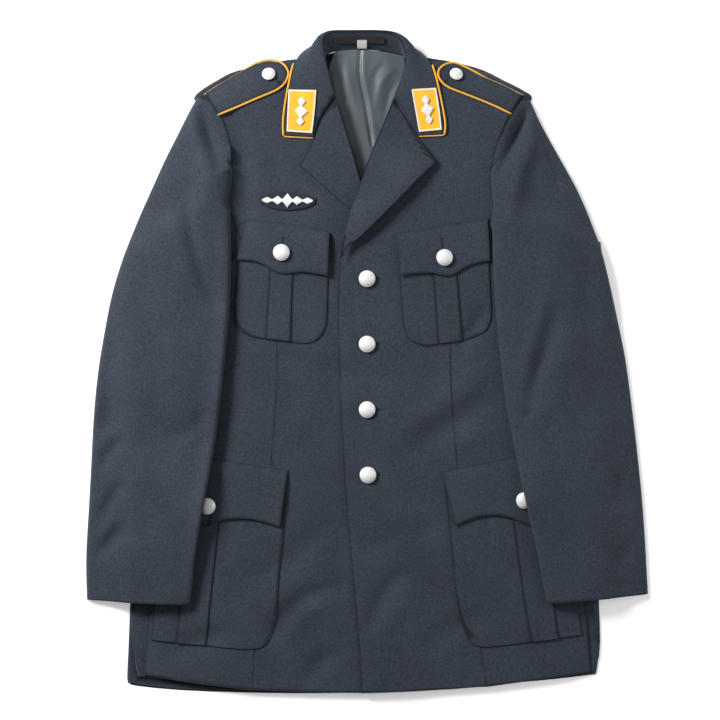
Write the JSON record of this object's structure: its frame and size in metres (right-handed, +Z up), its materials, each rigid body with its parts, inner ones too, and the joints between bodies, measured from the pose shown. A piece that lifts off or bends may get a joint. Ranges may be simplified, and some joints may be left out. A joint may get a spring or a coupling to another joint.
{
  "type": "uniform jacket",
  "caption": "Single-breasted uniform jacket lying flat on its back, with shoulder straps, piped collar, patch pockets with flaps and domed buttons.",
  "frame": {"origin": "under the middle of the jacket, on the surface that it lies on", "axes": "+X towards the wearer's left side, +Y from the hem to the collar, +Z up, away from the surface"},
  "size_m": [0.674, 0.7884, 0.03],
  "materials": {
    "wool": "matt dark blue-grey wool twill with a fine mottle",
    "lining": "soft satin lining",
    "tab_yellow": "felted yellow cloth",
    "piping_yellow": "yellow cord piping",
    "white_thread": "raised white embroidery",
    "badge_cloth": "dark felt backing",
    "hanger_cloth": "dark woven tape",
    "label_cloth": "bare white woven label",
    "silver": "pebbled silver-coloured metal"
  },
  "bodies": {
    "root": {"back": "wool", "front_right": "wool", "front_left": "wool", "side_right": "wool", "side_left": "wool", "lapel_right": "wool", "lapel_left": "wool", "collar_stand": "wool", "collar_fall": "wool", "top_sleeve_right": "wool", "top_sleeve_left": "wool", "under_sleeve_right": "wool", "under_sleeve_left": "wool", "chest_pocket_right": "wool", "chest_pocket_left": "wool", "chest_flap_right": "wool", "chest_flap_left": "wool", "lower_pocket_right": "wool", "lower_pocket_left": "wool", "lower_flap_right": "wool", "lower_flap_left": "wool", "strap_right": "wool", "strap_left": "wool", "lining_back": "lining", "collar_tab_right": "tab_yellow", "collar_tab_left": "tab_yellow", "strap_piping_right": "piping_yellow", "strap_piping_left": "piping_yellow", "collar_piping_right": "piping_yellow", "collar_piping_left": "piping_yellow", "tab_motif_right": "white_thread", "tab_motif_left": "white_thread", "badge_motif": "white_thread", "breast_badge": "badge_cloth", "hanger_strip": "hanger_cloth", "neck_label": "label_cloth", "button_front_1": "silver", "button_front_2": "silver", "button_front_3": "silver", "button_front_4": "silver", "button_strap_right": "silver", "button_strap_left": "silver", "button_chest_right": "silver", "button_chest_left": "silver", "button_lower_right": "silver", "button_lower_left": "silver"}
  },
  "joints": []
}
